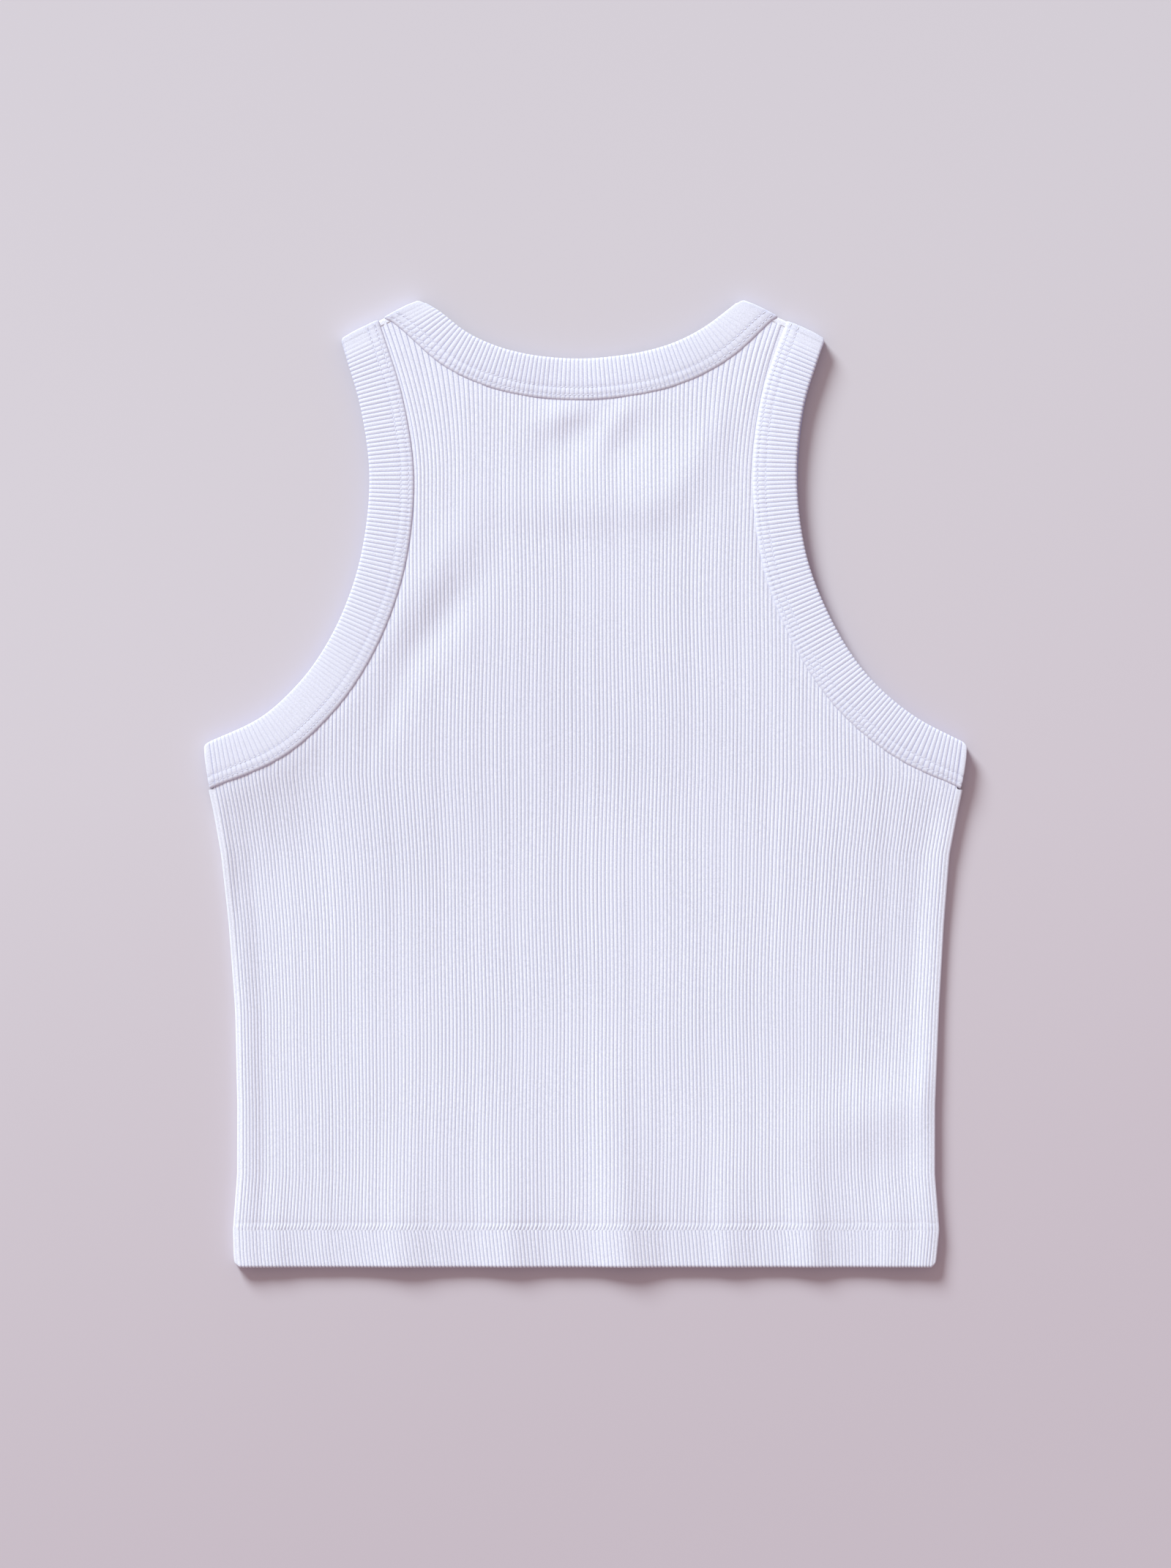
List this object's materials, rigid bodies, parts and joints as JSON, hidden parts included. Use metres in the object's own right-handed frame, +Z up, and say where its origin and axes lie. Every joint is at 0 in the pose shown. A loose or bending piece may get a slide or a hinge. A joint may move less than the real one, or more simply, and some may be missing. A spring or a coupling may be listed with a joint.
{
  "type": "tank top",
  "caption": "Cropped sleeveless rib-knit top with bound neck and armholes and a turned-up hem, laid flat with its back up.",
  "frame": {"origin": "middle of the laid garment's outline, on the surface that it lies on", "axes": "+Y from the hem towards the neck, +X to the right as seen from above, +Z up out of the back"},
  "size_m": [0.39, 0.4936, 0.0078],
  "materials": {
    "back_panel": "matt white rib knit",
    "front_panel": "matt white rib knit",
    "neck_binding": "matt white rib knit, coverstitched",
    "left_armhole_binding": "matt white rib knit, coverstitched",
    "right_armhole_binding": "matt white rib knit, coverstitched"
  },
  "bodies": {
    "root": {"back_panel": "back_panel", "front_panel": "front_panel", "neck_binding": "neck_binding", "left_armhole_binding": "left_armhole_binding", "right_armhole_binding": "right_armhole_binding"}
  },
  "joints": []
}
